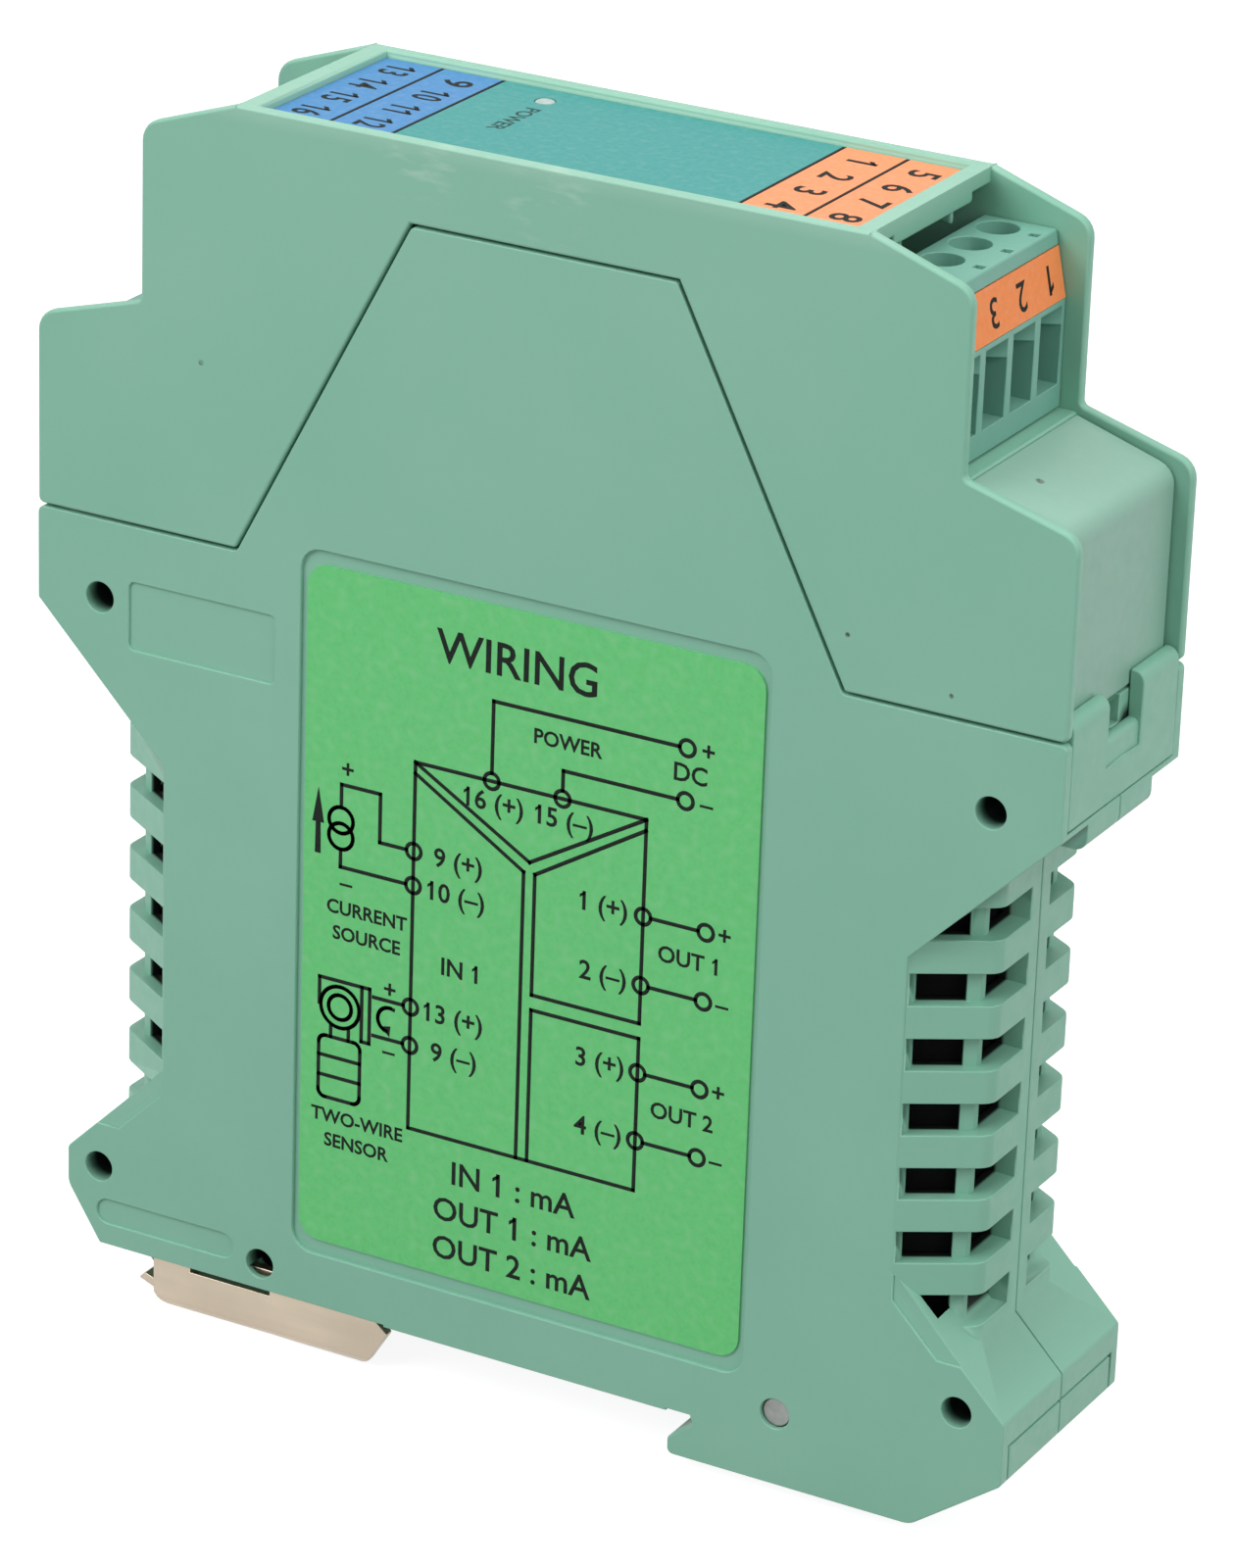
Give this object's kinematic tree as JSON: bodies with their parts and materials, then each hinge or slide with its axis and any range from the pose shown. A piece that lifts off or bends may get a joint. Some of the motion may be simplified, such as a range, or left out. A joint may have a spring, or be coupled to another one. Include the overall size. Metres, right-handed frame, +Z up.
{
  "type": "signal isolator",
  "caption": "Slim rail-mounted signal isolator: sage green two-part housing with vented waist, pull-off screw terminal plugs, coloured front label, wiring label and sprung metal foot latch.",
  "frame": {"origin": "centre of the box in plan, at the underside of the foot latch", "axes": "+Z up from the rail foot to the front panel, X across the rail with the hook at +X, Y along the rail"},
  "size_m": [0.099, 0.0226, 0.1145],
  "materials": {
    "housing_plastic": "fine satin moulded polyamide",
    "front_label_print": "printed film with coloured end fields",
    "wiring_label_print": "printed adhesive film with black lines",
    "marker_orange": "printed film",
    "marker_blue": "printed film",
    "latch_steel": "nickel-plated folded sheet",
    "plated_steel": "zinc-plated",
    "contact_brass": "bright",
    "board_laminate": "solder-masked laminate",
    "ferrite": "ground ferrite",
    "winding_copper": "enamelled wire",
    "black_plastic": "moulded",
    "clear_lens": "translucent"
  },
  "bodies": {
    "housing": {"near_shell": "housing_plastic", "far_shell": "housing_plastic", "upper_housing": "housing_plastic", "front_label": "front_label_print", "power_light": "clear_lens", "wiring_label": "wiring_label_print", "latch_spring": "plated_steel", "assembly_pin": "plated_steel", "blank_cover": "housing_plastic", "right_snap_plate": "housing_plastic", "left_snap_plate": "housing_plastic", "circuit_board": "board_laminate", "transformer_core": "ferrite", "transformer_coil": "winding_copper", "reservoir_capacitors": "black_plastic", "isolator_chips": "black_plastic", "power_led": "clear_lens", "right_header": "housing_plastic", "left_upper_header": "housing_plastic", "left_lower_header": "housing_plastic", "right_header_pins": "contact_brass", "left_upper_header_pins": "contact_brass", "left_lower_header_pins": "contact_brass"},
    "latch": {"foot_latch": "latch_steel"},
    "right_plug_body": {"right_plug": "housing_plastic", "right_marker": "marker_orange", "right_contacts": "contact_brass"},
    "screw_1": {"terminal_screw_1": "plated_steel"},
    "cage_1": {"clamp_cage_1": "plated_steel"},
    "screw_2": {"terminal_screw_2": "plated_steel"},
    "cage_2": {"clamp_cage_2": "plated_steel"},
    "screw_3": {"terminal_screw_3": "plated_steel"},
    "cage_3": {"clamp_cage_3": "plated_steel"},
    "screw_4": {"terminal_screw_4": "plated_steel"},
    "cage_4": {"clamp_cage_4": "plated_steel"},
    "left_upper_plug_body": {"left_upper_plug": "housing_plastic", "left_upper_marker": "marker_blue", "left_upper_contacts": "contact_brass"},
    "screw_9": {"terminal_screw_9": "plated_steel"},
    "cage_9": {"clamp_cage_9": "plated_steel"},
    "screw_10": {"terminal_screw_10": "plated_steel"},
    "cage_10": {"clamp_cage_10": "plated_steel"},
    "screw_11": {"terminal_screw_11": "plated_steel"},
    "cage_11": {"clamp_cage_11": "plated_steel"},
    "screw_12": {"terminal_screw_12": "plated_steel"},
    "cage_12": {"clamp_cage_12": "plated_steel"},
    "left_lower_plug_body": {"left_lower_plug": "housing_plastic", "left_lower_marker": "marker_blue", "left_lower_contacts": "contact_brass"},
    "screw_13": {"terminal_screw_13": "plated_steel"},
    "cage_13": {"clamp_cage_13": "plated_steel"},
    "screw_14": {"terminal_screw_14": "plated_steel"},
    "cage_14": {"clamp_cage_14": "plated_steel"},
    "screw_15": {"terminal_screw_15": "plated_steel"},
    "cage_15": {"clamp_cage_15": "plated_steel"},
    "screw_16": {"terminal_screw_16": "plated_steel"},
    "cage_16": {"clamp_cage_16": "plated_steel"}
  },
  "joints": [
    {"name": "latch_slide", "type": "slide", "parent": "housing", "child": "latch", "axis": [-1, 0, 0], "range_m": [0, 0.006], "stiffness_N_per_m": 500, "springref_m": -0.003, "deforming": ["latch_spring"]},
    {"name": "right_plug_slide", "type": "slide", "parent": "housing", "child": "right_plug_body", "axis": [1, 0, 0], "range_m": [0, 0.014]},
    {"name": "screw_1_turn", "type": "hinge", "parent": "right_plug_body", "child": "screw_1", "pos_m": [0.0319, 0.0075, 0.1053], "axis": [0, 0, -1], "range_deg": [0, 1728]},
    {"name": "cage_1_lift", "type": "slide", "parent": "right_plug_body", "child": "cage_1", "axis": [0, 0, 1], "range_m": [0, 0.0024]},
    {"name": "screw_2_turn", "type": "hinge", "parent": "right_plug_body", "child": "screw_2", "pos_m": [0.0319, 0.0025, 0.1053], "axis": [0, 0, -1], "range_deg": [0, 1728]},
    {"name": "cage_2_lift", "type": "slide", "parent": "right_plug_body", "child": "cage_2", "axis": [0, 0, 1], "range_m": [0, 0.0024]},
    {"name": "screw_3_turn", "type": "hinge", "parent": "right_plug_body", "child": "screw_3", "pos_m": [0.0319, -0.0025, 0.1053], "axis": [0, 0, -1], "range_deg": [0, 1728]},
    {"name": "cage_3_lift", "type": "slide", "parent": "right_plug_body", "child": "cage_3", "axis": [0, 0, 1], "range_m": [0, 0.0024]},
    {"name": "screw_4_turn", "type": "hinge", "parent": "right_plug_body", "child": "screw_4", "pos_m": [0.0319, -0.0075, 0.1053], "axis": [0, 0, -1], "range_deg": [0, 1728]},
    {"name": "cage_4_lift", "type": "slide", "parent": "right_plug_body", "child": "cage_4", "axis": [0, 0, 1], "range_m": [0, 0.0024]},
    {"name": "left_upper_plug_slide", "type": "slide", "parent": "housing", "child": "left_upper_plug_body", "axis": [-1, 0, 0], "range_m": [0, 0.014]},
    {"name": "screw_9_turn", "type": "hinge", "parent": "left_upper_plug_body", "child": "screw_9", "pos_m": [-0.0319, 0.0075, 0.1053], "axis": [0, 0, -1], "range_deg": [0, 1728]},
    {"name": "cage_9_lift", "type": "slide", "parent": "left_upper_plug_body", "child": "cage_9", "axis": [0, 0, 1], "range_m": [0, 0.0024]},
    {"name": "screw_10_turn", "type": "hinge", "parent": "left_upper_plug_body", "child": "screw_10", "pos_m": [-0.0319, 0.0025, 0.1053], "axis": [0, 0, -1], "range_deg": [0, 1728]},
    {"name": "cage_10_lift", "type": "slide", "parent": "left_upper_plug_body", "child": "cage_10", "axis": [0, 0, 1], "range_m": [0, 0.0024]},
    {"name": "screw_11_turn", "type": "hinge", "parent": "left_upper_plug_body", "child": "screw_11", "pos_m": [-0.0319, -0.0025, 0.1053], "axis": [0, 0, -1], "range_deg": [0, 1728]},
    {"name": "cage_11_lift", "type": "slide", "parent": "left_upper_plug_body", "child": "cage_11", "axis": [0, 0, 1], "range_m": [0, 0.0024]},
    {"name": "screw_12_turn", "type": "hinge", "parent": "left_upper_plug_body", "child": "screw_12", "pos_m": [-0.0319, -0.0075, 0.1053], "axis": [0, 0, -1], "range_deg": [0, 1728]},
    {"name": "cage_12_lift", "type": "slide", "parent": "left_upper_plug_body", "child": "cage_12", "axis": [0, 0, 1], "range_m": [0, 0.0024]},
    {"name": "left_lower_plug_slide", "type": "slide", "parent": "housing", "child": "left_lower_plug_body", "axis": [-1, 0, 0], "range_m": [0, 0.014]},
    {"name": "screw_13_turn", "type": "hinge", "parent": "left_lower_plug_body", "child": "screw_13", "pos_m": [-0.0424, 0.0075, 0.0866], "axis": [0, 0, -1], "range_deg": [0, 1728]},
    {"name": "cage_13_lift", "type": "slide", "parent": "left_lower_plug_body", "child": "cage_13", "axis": [0, 0, 1], "range_m": [0, 0.0024]},
    {"name": "screw_14_turn", "type": "hinge", "parent": "left_lower_plug_body", "child": "screw_14", "pos_m": [-0.0424, 0.0025, 0.0866], "axis": [0, 0, -1], "range_deg": [0, 1728]},
    {"name": "cage_14_lift", "type": "slide", "parent": "left_lower_plug_body", "child": "cage_14", "axis": [0, 0, 1], "range_m": [0, 0.0024]},
    {"name": "screw_15_turn", "type": "hinge", "parent": "left_lower_plug_body", "child": "screw_15", "pos_m": [-0.0424, -0.0025, 0.0866], "axis": [0, 0, -1], "range_deg": [0, 1728]},
    {"name": "cage_15_lift", "type": "slide", "parent": "left_lower_plug_body", "child": "cage_15", "axis": [0, 0, 1], "range_m": [0, 0.0024]},
    {"name": "screw_16_turn", "type": "hinge", "parent": "left_lower_plug_body", "child": "screw_16", "pos_m": [-0.0424, -0.0075, 0.0866], "axis": [0, 0, -1], "range_deg": [0, 1728]},
    {"name": "cage_16_lift", "type": "slide", "parent": "left_lower_plug_body", "child": "cage_16", "axis": [0, 0, 1], "range_m": [0, 0.0024]}
  ],
  "couplings": [
    {"joint": "screw_1_turn", "follows": "cage_1_lift", "rad_per_m": 12566},
    {"joint": "screw_2_turn", "follows": "cage_2_lift", "rad_per_m": 12566},
    {"joint": "screw_3_turn", "follows": "cage_3_lift", "rad_per_m": 12566},
    {"joint": "screw_4_turn", "follows": "cage_4_lift", "rad_per_m": 12566},
    {"joint": "screw_9_turn", "follows": "cage_9_lift", "rad_per_m": 12566},
    {"joint": "screw_10_turn", "follows": "cage_10_lift", "rad_per_m": 12566},
    {"joint": "screw_11_turn", "follows": "cage_11_lift", "rad_per_m": 12566},
    {"joint": "screw_12_turn", "follows": "cage_12_lift", "rad_per_m": 12566},
    {"joint": "screw_13_turn", "follows": "cage_13_lift", "rad_per_m": 12566},
    {"joint": "screw_14_turn", "follows": "cage_14_lift", "rad_per_m": 12566},
    {"joint": "screw_15_turn", "follows": "cage_15_lift", "rad_per_m": 12566},
    {"joint": "screw_16_turn", "follows": "cage_16_lift", "rad_per_m": 12566}
  ]
}
